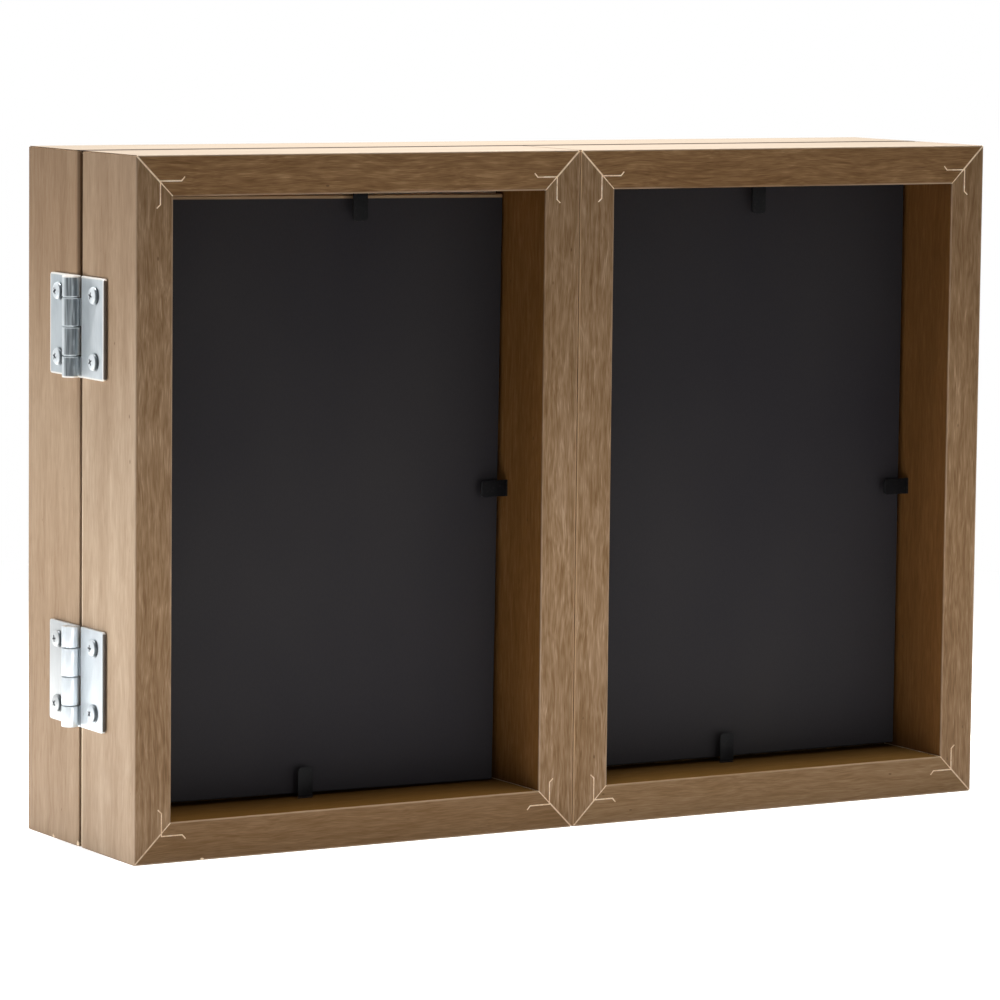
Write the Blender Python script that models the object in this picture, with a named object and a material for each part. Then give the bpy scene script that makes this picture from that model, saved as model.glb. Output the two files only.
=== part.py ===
"""Trifold photo frame, closed: a wide centre panel with two half-width doors folded over it.

Units are metres and +Z is up. The origin is at the middle of the base, X runs along the width,
and the backs of the doors face -Y. The frame stands on its bottom rails.
"""
import math

import bmesh
import bpy
from mathutils import Matrix, Vector

# Picture openings, measured between the inner walls of the mouldings
door_opening_width = 0.1045
opening_height = 0.1525

# Wooden moulding: a wall round the recess and a lip at the front that holds the pane
moulding_face = 0.010
moulding_depth = 0.0293
lip_reach = 0.005
lip_thickness = 0.0045
moulding_round = 0.0002
mitre_gap = 0.0003

# Spaces between the folded panels
seam_gap = 0.0014
door_gap = 0.0003

# Pane, picture sheet space and backing board, from the lip to the back
pane_thickness = 0.0015
pane_side_play = 0.0005
sheet_space = 0.0005
board_thickness = 0.0025
board_side_play = 0.00125
board_height_play = 0.002
slab_round = 0.0003
seat_gap = 0.0003

# How each backing board lies in its recess: the gap under it and its turn in the recess
board_lift = {"centre": 0.0003, "left_door": 0.0003, "right_door": 0.0011}
board_turn = {"centre": 0.0, "left_door": math.radians(0.5), "right_door": 0.0}

# Bendable clips in the walls, parallel to the board
clip_width = 0.0042
clip_length = 0.0073
clip_thickness = 0.0005
clip_tip_round = 0.0010
clip_wall_gap = 0.0003
clip_over_board = 0.0027

# Places of the clips along their walls, as shares of the wall from its middle
clip_shift_shares = {
    "centre": {"top": 0.02, "bottom": -0.015, "left": 0.0, "right": 0.01},
    "left_door": {"top": 0.084, "bottom": -0.055, "left": 0.012, "right": -0.003},
    "right_door": {"top": 0.028, "bottom": -0.042, "left": -0.01, "right": -0.035},
}

# Butt hinges on the outer side faces, two on each side
hinge_height = 0.025
hinge_leaf_reach = 0.015
hinge_sheet = 0.0009
hinge_inset = 0.0305
barrel_radius = 0.0023
knuckle_end_share = 0.212
knuckle_gap = 0.0003
pin_clearance = 0.0002
pin_round = 0.0003
leaf_corner_round = 0.001
leaf_notch_clearance = 0.0003
barrel_curl = math.radians(295.0)

# Screws that hold the hinge leaves
screw_head_radius = 0.0022
screw_head_height = 0.00105
screw_crest_radius = 0.00125
screw_root_radius = 0.00095
screw_length = 0.0085
screw_tip_length = 0.0018
screw_crests = 4
screw_hole_clearance = 0.0003
screw_seat_gap = 0.0002
screw_from_pin = 0.010
screw_end_inset = 0.0044
recess_arm = 0.0011
recess_width = 0.0005
recess_depth = 0.0006

# Shares of the screw head's radius and height at which its dome bends, and of the recess arms at their floor
head_dome_shares = ((0.0, 1.0), (0.5, 0.96), (0.82, 0.74), (0.96, 0.42))
recess_floor_share = 0.5

# Smoothness of the round shapes, and how far cutters run past what they cut
corner_steps = 2
tip_steps = 4
barrel_steps = 22
pin_sides = 20
screw_sides = 12
smooth_angle = math.radians(30.0)
cut_overrun = 0.001

# Sizes that follow from the ones above
door_width = door_opening_width + 2.0 * moulding_face
centre_width = 2.0 * door_width + door_gap
frame_height = opening_height + 2.0 * moulding_face
pane_front = lip_thickness + seat_gap
board_front = pane_front + pane_thickness + sheet_space
board_back = board_front + board_thickness
clip_depth = board_back + clip_over_board
barrel_bore = barrel_radius - hinge_sheet
pin_radius = barrel_bore - pin_clearance
pin_offset = barrel_radius + seat_gap
hinge_axis_x = 0.5 * centre_width + pin_offset

panels = {
    "centre": {"width": centre_width, "middle": 0.0, "back": Vector((0.0, 1.0, 0.0))},
    "left_door": {
        "width": door_width,
        "middle": -0.5 * (door_width + door_gap),
        "back": Vector((0.0, -1.0, 0.0)),
    },
    "right_door": {
        "width": door_width,
        "middle": 0.5 * (door_width + door_gap),
        "back": Vector((0.0, -1.0, 0.0)),
    },
}
inward = {
    "bottom": Vector((0.0, 0.0, 1.0)),
    "top": Vector((0.0, 0.0, -1.0)),
    "left": Vector((1.0, 0.0, 0.0)),
    "right": Vector((-1.0, 0.0, 0.0)),
}
moulding_words = {"bottom": "bottom_rail", "top": "top_rail", "left": "left_stile", "right": "right_stile"}


def clear_scene():
    for old_object in list(bpy.data.objects):
        bpy.data.objects.remove(old_object, do_unlink=True)
    for old_mesh in list(bpy.data.meshes):
        bpy.data.meshes.remove(old_mesh)


def make_material(name, colour, roughness, metallic=0.0, alpha=1.0):
    material = bpy.data.materials.new(name)
    material.use_nodes = True
    shader = material.node_tree.nodes["Principled BSDF"]
    shader.inputs["Base Color"].default_value = (*colour, 1.0)
    shader.inputs["Roughness"].default_value = roughness
    shader.inputs["Metallic"].default_value = metallic
    shader.inputs["Alpha"].default_value = alpha
    return material


def make_object(name, bm, material, smooth=False):
    mesh = bpy.data.meshes.new(name)
    bmesh.ops.recalc_face_normals(bm, faces=bm.faces)
    bm.to_mesh(mesh)
    bm.free()
    if smooth:
        mesh.shade_smooth()
        mesh.set_sharp_from_angle(angle=smooth_angle)
    mesh.materials.append(material)
    piece = bpy.data.objects.new(name, mesh)
    bpy.context.collection.objects.link(piece)
    return piece


def place(piece, parent, position, turn=None):
    """Puts a piece at a world position under an empty that isn't turned."""
    piece.parent = parent
    piece.location = position - parent.location
    if turn is not None:
        piece.rotation_euler = turn.to_euler()


def make_empty(name, position):
    empty = bpy.data.objects.new(name, None)
    empty.location = position
    bpy.context.collection.objects.link(empty)
    return empty


def turn_from_axes(x_axis, y_axis, z_axis):
    return Matrix((x_axis, y_axis, z_axis)).transposed()


def polygon(bm, points):
    return bm.faces.new([bm.verts.new(point) for point in points])


def extruded_verts(bm, face):
    result = bmesh.ops.extrude_face_region(bm, geom=[face])
    return [item for item in result["geom"] if isinstance(item, bmesh.types.BMVert)]


def make_cutter(name, bm, parent, position, turn):
    """A helper body that only cuts others and isn't a part of the frame."""
    cutter = make_object(name, bm, materials["cutter"])
    cutter.hide_render = True
    cutter.display_type = "WIRE"
    place(cutter, parent, position, turn)
    return cutter


def cut(piece, cutter):
    modifier = piece.modifiers.new(cutter.name, "BOOLEAN")
    modifier.operation = "DIFFERENCE"
    modifier.solver = "EXACT"
    modifier.object = cutter


def box_mesh(low, high):
    bm = bmesh.new()
    size = high - low
    middle = 0.5 * (low + high)
    bmesh.ops.create_cube(bm, size=1.0, matrix=Matrix.Translation(middle) @ Matrix.Diagonal((*size, 1.0)))
    return bm


# Panels
def moulding_mesh(length):
    """One mitred length along X. Its outer face is at z = 0, and its front is at y = 0."""
    bm = bmesh.new()
    lip_edge = moulding_face + lip_reach
    profile = (
        (0.0, 0.0),
        (0.0, lip_edge),
        (-lip_thickness, lip_edge),
        (-lip_thickness, moulding_face),
        (-moulding_depth, moulding_face),
        (-moulding_depth, 0.0),
    )
    face = polygon(bm, [(0.0, y, z) for y, z in profile])
    inner_corner = Vector((0.0, -lip_thickness, moulding_face))
    corners = [vertex for vertex in bm.verts if (vertex.co - inner_corner).length > moulding_round]
    bmesh.ops.bevel(bm, geom=corners, offset=moulding_round, segments=corner_steps, profile=0.5,
                    affect="VERTICES", material=-1)
    face = bm.faces[:][0]
    far_end = extruded_verts(bm, face)
    mitre_back_off = 0.5 * mitre_gap * math.sqrt(2.0)
    for vertex in bm.verts:
        reach = 0.5 * length - mitre_back_off - vertex.co.z
        vertex.co.x = reach if vertex in far_end else -reach
    return bm


def slab_mesh(width, thickness, height):
    half = Vector((0.5 * width, 0.5 * thickness, 0.5 * height))
    bm = box_mesh(-half, half)
    bmesh.ops.bevel(bm, geom=bm.edges[:], offset=slab_round, segments=1, profile=0.5,
                    affect="EDGES", material=-1)
    return bm


def clip_mesh():
    """A flat tab along Z with its rounded bend at the origin, and its faces square to Y."""
    bm = bmesh.new()
    half = 0.5 * clip_thickness
    points = [(0.0, half, clip_length), (0.0, -half, clip_length)]
    for step in range(tip_steps + 1):
        angle = math.pi * step / tip_steps
        points.append((0.0, -half * math.cos(angle), -half * math.sin(angle)))
    face = polygon(bm, points)
    far_side = extruded_verts(bm, face)
    for vertex in bm.verts:
        vertex.co.x = 0.5 * clip_width if vertex in far_side else -0.5 * clip_width
    tip_corners = []
    for edge in bm.edges:
        ends = [vertex.co for vertex in edge.verts]
        at_tip = min(end.z for end in ends) > clip_length - half
        if at_tip and abs(ends[0].y - ends[1].y) > half:
            tip_corners.append(edge)
    bmesh.ops.bevel(bm, geom=tip_corners, offset=clip_tip_round, segments=tip_steps, profile=0.5,
                    affect="EDGES", material=-1)
    return bm


def build_panel(name, parent):
    panel = panels[name]
    width = panel["width"]
    back = panel["back"]
    front = Vector((panel["middle"], 0.0, 0.5 * frame_height)) + 0.5 * seam_gap * back
    opening = {
        "bottom": width - 2.0 * moulding_face,
        "top": width - 2.0 * moulding_face,
        "left": opening_height,
        "right": opening_height,
    }
    mouldings = {}
    for side, inward_way in inward.items():
        across = frame_height if side in ("bottom", "top") else width
        along = width if side in ("bottom", "top") else frame_height
        turn = turn_from_axes((-back).cross(inward_way), -back, inward_way)
        moulding = make_object(f"{name}_{moulding_words[side]}", moulding_mesh(along), materials["wood"])
        place(moulding, parent, front - 0.5 * across * inward_way, turn)
        mouldings[side] = moulding

        clip = make_object(f"{name}_{side}_clip", clip_mesh(), materials["black_steel"], smooth=True)
        wall_distance = 0.5 * across - moulding_face - clip_wall_gap - 0.5 * clip_thickness
        bend = front - wall_distance * inward_way + clip_depth * back
        # A shift counts along +X or +Z, whichever way the wall's own frame is turned
        wall_way = Vector((1.0, 0.0, 0.0)) if side in ("bottom", "top") else Vector((0.0, 0.0, 1.0))
        bend += clip_shift_shares[name][side] * opening[side] * wall_way
        place(clip, parent, bend, turn)

    pane_height = opening_height - 2.0 * pane_side_play
    pane = make_object(
        f"{name}_pane",
        slab_mesh(opening["bottom"] - 2.0 * pane_side_play, pane_thickness, pane_height),
        materials["glass"],
    )
    pane_middle = front + (pane_front + 0.5 * pane_thickness) * back
    pane_middle.z = moulding_face + seat_gap + 0.5 * pane_height
    place(pane, parent, pane_middle)

    board_width = opening["bottom"] - 2.0 * board_side_play
    board_height = opening_height - board_height_play
    board = make_object(
        f"{name}_backing_board",
        slab_mesh(board_width, board_thickness, board_height),
        materials["black_board"],
    )
    turned_height = board_height * math.cos(board_turn[name]) + board_width * math.sin(board_turn[name])
    board_middle = front + (board_front + 0.5 * board_thickness) * back
    board_middle.z = moulding_face + board_lift[name] + 0.5 * turned_height
    place(board, parent, board_middle, Matrix.Rotation(board_turn[name], 3, "Y"))
    return mouldings


# Hinges. Their local X points away from the wood, local Y along the leaf, and the pin is along Z.
def leaf_mesh():
    bm = bmesh.new()
    outer = []
    inner = []
    for step in range(barrel_steps + 1):
        angle = math.pi + barrel_curl * step / barrel_steps
        outer.append((barrel_radius * math.cos(angle), barrel_radius * math.sin(angle)))
        inner.append((barrel_bore * math.cos(angle), barrel_bore * math.sin(angle)))
    profile = [(-barrel_radius, hinge_leaf_reach)] + outer + inner[::-1] + [(-barrel_bore, hinge_leaf_reach)]
    face = polygon(bm, [(x, y, 0.0) for x, y in profile])
    top = extruded_verts(bm, face)
    for vertex in bm.verts:
        vertex.co.z = 0.5 * hinge_height if vertex in top else -0.5 * hinge_height
    corners = []
    for edge in bm.edges:
        ends = [vertex.co for vertex in edge.verts]
        at_edge = min(end.y for end in ends) > hinge_leaf_reach - hinge_sheet
        if at_edge and abs(ends[0].x - ends[1].x) > 0.5 * hinge_sheet:
            corners.append(edge)
    bmesh.ops.bevel(bm, geom=corners, offset=leaf_corner_round, segments=corner_steps, profile=0.5,
                    affect="EDGES", material=-1)
    return bm


def knuckle_edges():
    """Heights of the five knuckle ends, from the top down."""
    end_height = knuckle_end_share * hinge_height
    middle_height = 0.5 * hinge_height - end_height
    top = 0.5 * hinge_height
    return [top, top - end_height, 0.0, -middle_height, -top]


def leaf_cutters_mesh(first_gap):
    """Notches for the other leaf's knuckles, every second one from first_gap, and the screw holes."""
    bm = bmesh.new()
    ends = knuckle_edges()
    notch_reach = barrel_radius + leaf_notch_clearance
    for index in range(first_gap, len(ends) - 1, 2):
        high = ends[index] + (cut_overrun if index == 0 else 0.5 * knuckle_gap)
        low = ends[index + 1] - (cut_overrun if index == len(ends) - 2 else 0.5 * knuckle_gap)
        reach = barrel_radius + cut_overrun
        size = Vector((2.0 * reach, reach + notch_reach, high - low))
        middle = Vector((0.0, 0.5 * (notch_reach - reach), 0.5 * (high + low)))
        bmesh.ops.create_cube(bm, size=1.0, matrix=Matrix.Translation(middle) @ Matrix.Diagonal((*size, 1.0)))
    for height in screw_heights():
        middle = Vector((-0.5 * (barrel_radius + barrel_bore), screw_from_pin, height))
        bmesh.ops.create_cone(
            bm,
            cap_ends=True,
            segments=screw_sides,
            radius1=screw_crest_radius + screw_hole_clearance,
            radius2=screw_crest_radius + screw_hole_clearance,
            depth=hinge_sheet + 2.0 * cut_overrun,
            matrix=Matrix.Translation(middle) @ Matrix.Rotation(0.5 * math.pi, 4, "Y"),
        )
    return bm


def screw_heights():
    reach = 0.5 * hinge_height - screw_end_inset
    return (reach, -reach)


def pin_mesh():
    bm = bmesh.new()
    bmesh.ops.create_cone(bm, cap_ends=True, segments=pin_sides, radius1=pin_radius, radius2=pin_radius,
                          depth=hinge_height)
    rims = [edge for edge in bm.edges if abs(edge.verts[0].co.z - edge.verts[1].co.z) < pin_round]
    bmesh.ops.bevel(bm, geom=rims, offset=pin_round, segments=1, profile=0.5, affect="EDGES", material=-1)
    return bm


def screw_mesh():
    """A pan-head screw along X with its head's seat at the origin and its tip at -X."""
    bm = bmesh.new()
    points = [(share * screw_head_radius, rise * screw_head_height) for share, rise in head_dome_shares]
    points.append((screw_head_radius, 0.0))
    points.append((screw_root_radius, 0.0))
    thread_top = -hinge_sheet
    thread_length = screw_length - screw_tip_length + thread_top
    pitch = thread_length / screw_crests
    for crest in range(screw_crests):
        points.append((screw_root_radius, thread_top - crest * pitch))
        points.append((screw_crest_radius, thread_top - (crest + 0.5) * pitch))
    points.append((screw_root_radius, thread_top - thread_length))
    points.append((0.0, -screw_length))
    verts = [bm.verts.new((x, radius, 0.0)) for radius, x in points]
    edges = [bm.edges.new(pair) for pair in zip(verts, verts[1:])]
    bmesh.ops.spin(bm, geom=verts + edges, cent=(0.0, 0.0, 0.0), axis=(1.0, 0.0, 0.0), angle=2.0 * math.pi,
                   steps=screw_sides, use_merge=True)
    bmesh.ops.remove_doubles(bm, verts=bm.verts, dist=0.01 * screw_root_radius)
    return bm


def recess_mesh():
    """A cross for the driver, with arms that taper towards its floor."""
    bm = bmesh.new()
    arm = recess_arm
    half = 0.5 * recess_width
    outline = ((arm, half), (half, half), (half, arm), (-half, arm), (-half, half), (-arm, half))
    ring = list(outline) + [(-y, -z) for y, z in outline]
    face = polygon(bm, [(screw_head_height + cut_overrun, y, z) for y, z in ring])
    for vertex in extruded_verts(bm, face):
        vertex.co.x = screw_head_height - recess_depth
        if abs(vertex.co.y) > recess_width:
            vertex.co.y *= recess_floor_share
        if abs(vertex.co.z) > recess_width:
            vertex.co.z *= recess_floor_share
    return bm


def pilot_mesh():
    """A screw's hole in the wood, along X."""
    bm = bmesh.new()
    bmesh.ops.create_cone(
        bm,
        cap_ends=True,
        segments=screw_sides,
        radius1=screw_crest_radius + screw_hole_clearance,
        radius2=screw_crest_radius + screw_hole_clearance,
        depth=screw_length + cut_overrun,
        matrix=Matrix.Rotation(0.5 * math.pi, 4, "Y"),
    )
    return bm


def build_hinge(name, side, height, owners):
    """owners gives the parent and the stile of each leaf: "frame" on the centre panel, "door" on the door."""
    outward = -inward[side]
    pin_place = hinge_axis_x * outward + Vector((0.0, 0.0, height))
    pin = make_object(f"{name}_pin", pin_mesh(), materials["zinc"], smooth=True)
    place(pin, owners["frame"]["parent"], pin_place)
    for first_gap, (leaf_word, owner) in zip((1, 0), owners.items()):
        parent = owner["parent"]
        along = Vector((0.0, 1.0, 0.0)) if leaf_word == "frame" else Vector((0.0, -1.0, 0.0))
        up = outward.cross(along)
        turn = turn_from_axes(outward, along, up)
        leaf = make_object(f"{name}_{leaf_word}_leaf", leaf_mesh(), materials["zinc"], smooth=True)
        place(leaf, parent, pin_place, turn)
        # The knuckles alternate from the top, so a leaf that is turned upside down starts with the other one
        gap_index = first_gap if up.z > 0.0 else 1 - first_gap
        leaf_cutters = leaf_cutters_mesh(gap_index)
        cut(leaf, make_cutter(f"{name}_{leaf_word}_cutter", leaf_cutters, parent, pin_place, turn))
        for word, rise in zip(("upper", "lower"), screw_heights()):
            screw_name = f"{name}_{leaf_word}_{word}"
            seat = pin_place + screw_from_pin * along + Vector((0.0, 0.0, rise))
            pilot_middle = seat - (pin_offset - 0.5 * (cut_overrun - screw_length)) * outward
            seat += (screw_seat_gap - barrel_bore) * outward
            screw = make_object(f"{screw_name}_screw", screw_mesh(), materials["zinc"], smooth=True)
            place(screw, parent, seat, turn)
            cut(screw, make_cutter(f"{screw_name}_recess", recess_mesh(), parent, seat, turn))
            cut(owner["stile"], make_cutter(f"{screw_name}_pilot", pilot_mesh(), parent, pilot_middle, turn))


clear_scene()
materials = {
    "wood": make_material("wood", (0.27, 0.16, 0.085), 0.62),
    "black_board": make_material("black_board", (0.018, 0.017, 0.017), 0.7),
    "glass": make_material("glass", (0.85, 0.9, 0.88), 0.05, alpha=0.3),
    "black_steel": make_material("black_steel", (0.012, 0.012, 0.013), 0.35, metallic=0.4),
    "zinc": make_material("zinc", (0.68, 0.71, 0.74), 0.3, metallic=1.0),
    "cutter": make_material("cutter", (0.8, 0.1, 0.1), 0.9),
}
parents = {
    "centre": make_empty("centre_panel", Vector((0.0, 0.0, 0.0))),
    "left_door": make_empty("left_door_axis", Vector((-hinge_axis_x, 0.0, 0.0))),
    "right_door": make_empty("right_door_axis", Vector((hinge_axis_x, 0.0, 0.0))),
}
mouldings_of = {name: build_panel(name, parents[name]) for name in panels}
hinge_heights = {
    "upper": frame_height - hinge_inset - 0.5 * hinge_height,
    "lower": hinge_inset + 0.5 * hinge_height,
}
for side in ("left", "right"):
    for level, height in hinge_heights.items():
        owners = {
            "frame": {"parent": parents["centre"], "stile": mouldings_of["centre"][side]},
            "door": {"parent": parents[f"{side}_door"], "stile": mouldings_of[f"{side}_door"][side]},
        }
        build_hinge(f"{side}_{level}_hinge", side, height, owners)
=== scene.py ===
# Trifold photo frame, folded shut and standing on its bottom rails
import math

import bmesh
import bpy
from mathutils import Matrix, Vector


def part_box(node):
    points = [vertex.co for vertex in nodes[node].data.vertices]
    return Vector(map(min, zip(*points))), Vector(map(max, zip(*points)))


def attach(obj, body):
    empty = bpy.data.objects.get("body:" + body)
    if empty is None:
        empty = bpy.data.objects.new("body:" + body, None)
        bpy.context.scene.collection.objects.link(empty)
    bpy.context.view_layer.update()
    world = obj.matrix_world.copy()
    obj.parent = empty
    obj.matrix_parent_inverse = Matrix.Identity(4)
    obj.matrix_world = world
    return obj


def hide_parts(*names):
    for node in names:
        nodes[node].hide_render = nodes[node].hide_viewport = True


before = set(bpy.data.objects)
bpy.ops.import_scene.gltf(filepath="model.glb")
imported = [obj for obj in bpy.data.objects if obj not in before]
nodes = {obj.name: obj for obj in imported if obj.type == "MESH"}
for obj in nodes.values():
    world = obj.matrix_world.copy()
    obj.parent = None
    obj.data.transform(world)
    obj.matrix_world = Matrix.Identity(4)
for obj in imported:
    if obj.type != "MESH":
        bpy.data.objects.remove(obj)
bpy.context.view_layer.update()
mm = 0.001
perMetre = 1000.0
print("frame loaded:", len(nodes), "nodes")


def tone(red, green, blue):  # screen colour, 0 to 255, as the linear values that the nodes take
    values = []
    for part in (red, green, blue):
        share = part / 255.0
        values.append(share / 12.92 if share <= 0.04045 else ((share + 0.055) / 1.055) ** 2.4)
    return (*values, 1.0)


# Node helpers
def feed(tree, socket, value):
    if isinstance(value, bpy.types.NodeSocket):
        tree.links.new(value, socket)
    else:
        socket.default_value = value


def addNode(tree, kind, feeds=None, **settings):
    node = tree.nodes.new(kind)
    for key, value in settings.items():
        setattr(node, key, value)
    for key, value in (feeds or {}).items():
        feed(tree, node.inputs[key], value)
    return node


def calc(tree, operation, *values):
    return addNode(tree, "ShaderNodeMath", dict(enumerate(values)), operation=operation).outputs[0]


def product(tree, first, *others):
    for value in others:
        first = calc(tree, "MULTIPLY", first, value)
    return first


def weightedSum(tree, *parts):  # pairs of a value and its weight
    terms = [calc(tree, "MULTIPLY", value, weight) for value, weight in parts]
    total = terms[0]
    for term in terms[1:]:
        total = calc(tree, "ADD", total, term)
    return total


def rise(tree, value, low, high):  # 0 below low, 1 above high
    node = addNode(tree, "ShaderNodeMapRange", {"Value": value, "From Min": low, "From Max": high},
                   interpolation_type="SMOOTHSTEP")
    return node.outputs["Result"]


def fall(tree, value, low, high):  # 1 below low, 0 above high
    return calc(tree, "SUBTRACT", 1.0, rise(tree, value, low, high))


def vectorMath(tree, operation, *vectors, output="Vector"):
    node = addNode(tree, "ShaderNodeVectorMath", dict(enumerate(vectors)), operation=operation)
    return node.outputs[output]


def objectPlace(tree):
    return addNode(tree, "ShaderNodeTexCoord").outputs["Object"]


def stretch(tree, vector, factors, shift=(0.0, 0.0, 0.0)):
    return addNode(tree, "ShaderNodeMapping",
                   {"Vector": vector, "Scale": factors, "Location": shift}).outputs[0]


def split(tree, vector):
    return addNode(tree, "ShaderNodeSeparateXYZ", {"Vector": vector}).outputs


def noise(tree, vector, detail=2.0, roughness=0.5, distortion=0.0, output="Fac"):
    node = addNode(tree, "ShaderNodeTexNoise",
                   {"Vector": vector, "Scale": 1.0, "Detail": detail, "Roughness": roughness,
                    "Distortion": distortion})
    return node.outputs[output]


def ramp(tree, value, stops):
    node = addNode(tree, "ShaderNodeValToRGB", {"Fac": value})
    band = node.color_ramp
    while len(band.elements) < len(stops):
        band.elements.new(0.5)
    for element, (position, colour) in zip(band.elements, stops):
        element.position = position
        element.color = colour
    return node.outputs["Color"]


def mixColour(tree, factor, first, second, way="MIX"):
    node = tree.nodes.new("ShaderNodeMix")
    node.data_type = "RGBA"
    node.blend_type = way
    feed(tree, node.inputs[0], factor)
    feed(tree, node.inputs[6], first)
    feed(tree, node.inputs[7], second)
    return node.outputs[2]


def tinted(tree, colour, factors, share=1.0):
    return mixColour(tree, share, colour, (*factors, 1.0), "MULTIPLY")


def newMaterial(name):
    material = bpy.data.materials.new(name)
    material.use_nodes = True
    tree = material.node_tree
    return material, tree, tree.nodes["Principled BSDF"]


def setShader(tree, shader, colour, **values):  # each value by its socket's name, with _ for a space
    feed(tree, shader.inputs["Base Color"], colour)
    for key, value in values.items():
        feed(tree, shader.inputs[key.replace("_", " ")], value)


def seenDirectly(tree):  # by the camera, in a mirror or through glass
    rays = addNode(tree, "ShaderNodeLightPath").outputs
    direct = calc(tree, "MAXIMUM", rays["Is Camera Ray"], rays["Is Glossy Ray"])
    return calc(tree, "MAXIMUM", direct, rays["Is Transmission Ray"])


def addBump(tree, shader, height, strength, distance):
    node = addNode(tree, "ShaderNodeBump", {"Height": height, "Strength": strength, "Distance": distance})
    tree.links.new(node.outputs[0], shader.inputs["Normal"])


# Stained pine. Every moulding has its own material, because the grain runs along its own length.
panels = {
    "centre": {"body": "centre_panel", "left": -124.65, "right": 124.65, "backSign": 1.0, "seed": 1.0},
    "left_door": {"body": "left_door", "left": -124.65, "right": -0.15, "backSign": -1.0, "seed": 2.0},
    "right_door": {"body": "right_door", "left": 0.15, "right": 124.65, "backSign": -1.0, "seed": 3.0},
}
moulding = {"height": 172.5, "rim": 10.0, "lipEdge": 15.0, "lip": 4.5, "depth": 29.3, "back": 30.0}
pine = {  # how the grain is drawn: scales along, through and across the piece, then noise settings
    "wave": (0.045, 0.10, 0.10), "waveReach": 3.0,
    "streaks": (0.10, 1.05, 1.05), "streakNoise": (2.5, 0.55, 0.2),
    "fibres": (0.22, 4.2, 4.2), "fibreNoise": (1.5, 0.6),
    "bands": (0.012, 0.14, 0.14), "bandNoise": (2.0, 0.5),
    "pores": (0.10, 0.22, 0.22), "poreShare": 0.7, "poreRelief": 0.6,
    "rimWeights": (0.43, 0.40, 0.17), "faceWeights": (0.30, 0.26, 0.44), "calmRail": (0.55, 0.205),
    "ragged": 0.5, "chipRagged": 1.6, "chipAcross": 0.3, "chipCore": 0.6,
    "relief": 0.35, "reliefDepth": 0.12, "panelSeed": 13.0, "letterSeed": 7.0, "topLeftSeed": 31.0,
}
# The outer faces' tones are painted paler and the recess walls' darker than the rims: painted light and
# painted shade on one stained wood
stain = {
    "rim": [(0.30, tone(104, 76, 46)), (0.44, tone(126, 99, 70)), (0.56, tone(145, 118, 90)),
            (0.72, tone(183, 156, 128))],
    "outer": [(0.24, tone(132, 107, 82)), (0.42, tone(162, 137, 112)), (0.58, tone(180, 156, 131)),
              (0.78, tone(200, 177, 152))],
    # the top face's greyer tone is painted light, standing in for the top washing out under the strong light
    # above
    "top": [(0.26, tone(124, 111, 96)), (0.50, tone(133, 120, 105)), (0.74, tone(142, 129, 114))],
    "inner": [(0.30, tone(103, 68, 31)), (0.50, tone(118, 81, 42)), (0.72, tone(138, 99, 59))],
    "paleEdge": tone(180, 160, 140), "bare": tone(244, 221, 191), "pore": tone(86, 62, 38),
    "seam": tone(84, 60, 38), "topSeamShade": tone(46, 32, 20), "gapLight": tone(178, 147, 115),
    "roughness": 0.62, "gloss": 0.15,
    # painted shade: the recess floor of the bottom rails, the top of the outer faces and the foot of the
    # stiles
    "recessFloorShade": (0.60, 0.67, 0.66), "paintedShadeHead": (0.89, 0.83, 0.77), "paintedShadeFoot": (0.87, 0.87, 0.88),
}
share = {  # how much of a mark shows
    "paleOpeningLine": {"top_rail": 0.60, "bottom_rail": 0.28, "left_stile": 0.32, "right_stile": 0.32},
    "paleOuterLine": 0.25, "outerFootShade": 0.65, "bareLow": 0.25, "bareHigh": 0.9, "seamHighlight": 0.5, "seam": 0.9,
}
marks = {  # where a look begins and ends on a moulding, in mm, or in noise values for patches and pores
    "outer": (0.12, 0.38), "front": (moulding["depth"] - 0.9, moulding["depth"] - 0.2),
    "lip": (moulding["rim"] + 1.5, moulding["lipEdge"] - 0.6),
    "wall": (moulding["rim"] - 0.35, moulding["rim"] - 0.1), "wallDepth": (0.25, 0.6),
    "wallEnd": (moulding["rim"] + 0.5, moulding["rim"] + 1.5),
    "gapLight": (2.0, 4.5), "head": (95.0, 160.0), "footShade": (20.0, 70.0),
    "opening": (0.2, 0.5), "openingDepth": (0.08, 0.25), "patches": (0.30, 0.55),
    "edge": (0.25, 0.6), "edgeDepth": (0.2, 0.5),
    "mitre": (0.20, 0.42), "mitreDepth": (0.05, 0.2), "mitreReach": (6.2, 7.2), "mitreHeight": (60.0, 110.0),
    "pore": (0.03, 0.07), "porePick": (0.55, 0.6),
    "seamHighlight": (28.45, 28.8), "seamHighlightAcross": (0.35, 0.6), "seamHighlightHeight": (70.0, 120.0),
    "seam": (26.9, 28.6), "seamShadeAcross": (0.9, 1.6), "seamShadeHeight": (85.0, 150.0),
    "topSeamShade": (27.9, 28.2), "centreTopSeamShade": (24.6, 28.2), "topSeamShadeAcross": (0.4, 1.0),
}
batch = {  # how the rims and recess walls of a piece took the stain, against the usual tones
    "left_door_top_rail": (0.87, 0.76, 0.59), "right_door_top_rail": (0.87, 0.76, 0.59),
    "left_door_bottom_rail": (0.73, 0.71, 0.69), "right_door_bottom_rail": (0.83, 0.84, 0.85),
    "left_door_left_stile": (0.96, 0.94, 0.92), "left_door_right_stile": (1.03, 1.04, 1.08),
    "right_door_left_stile": (1.03, 1.04, 1.08), "right_door_right_stile": (0.90, 0.86, 0.80),
}
sideBatch = {  # the same for the outer faces
    "centre_left_stile": (0.90, 0.89, 0.88), "left_door_left_stile": (1.02, 1.05, 1.09),
}
chips = {  # bare spots at the bottom edge: along, depth, radius in mm
    "centre_left_stile": [(0.2, 15.0, 0.8), (0.4, 28.9, 1.0)],
    "left_door_bottom_rail": [(-106.0, 0.3, 0.6)],
}


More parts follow.
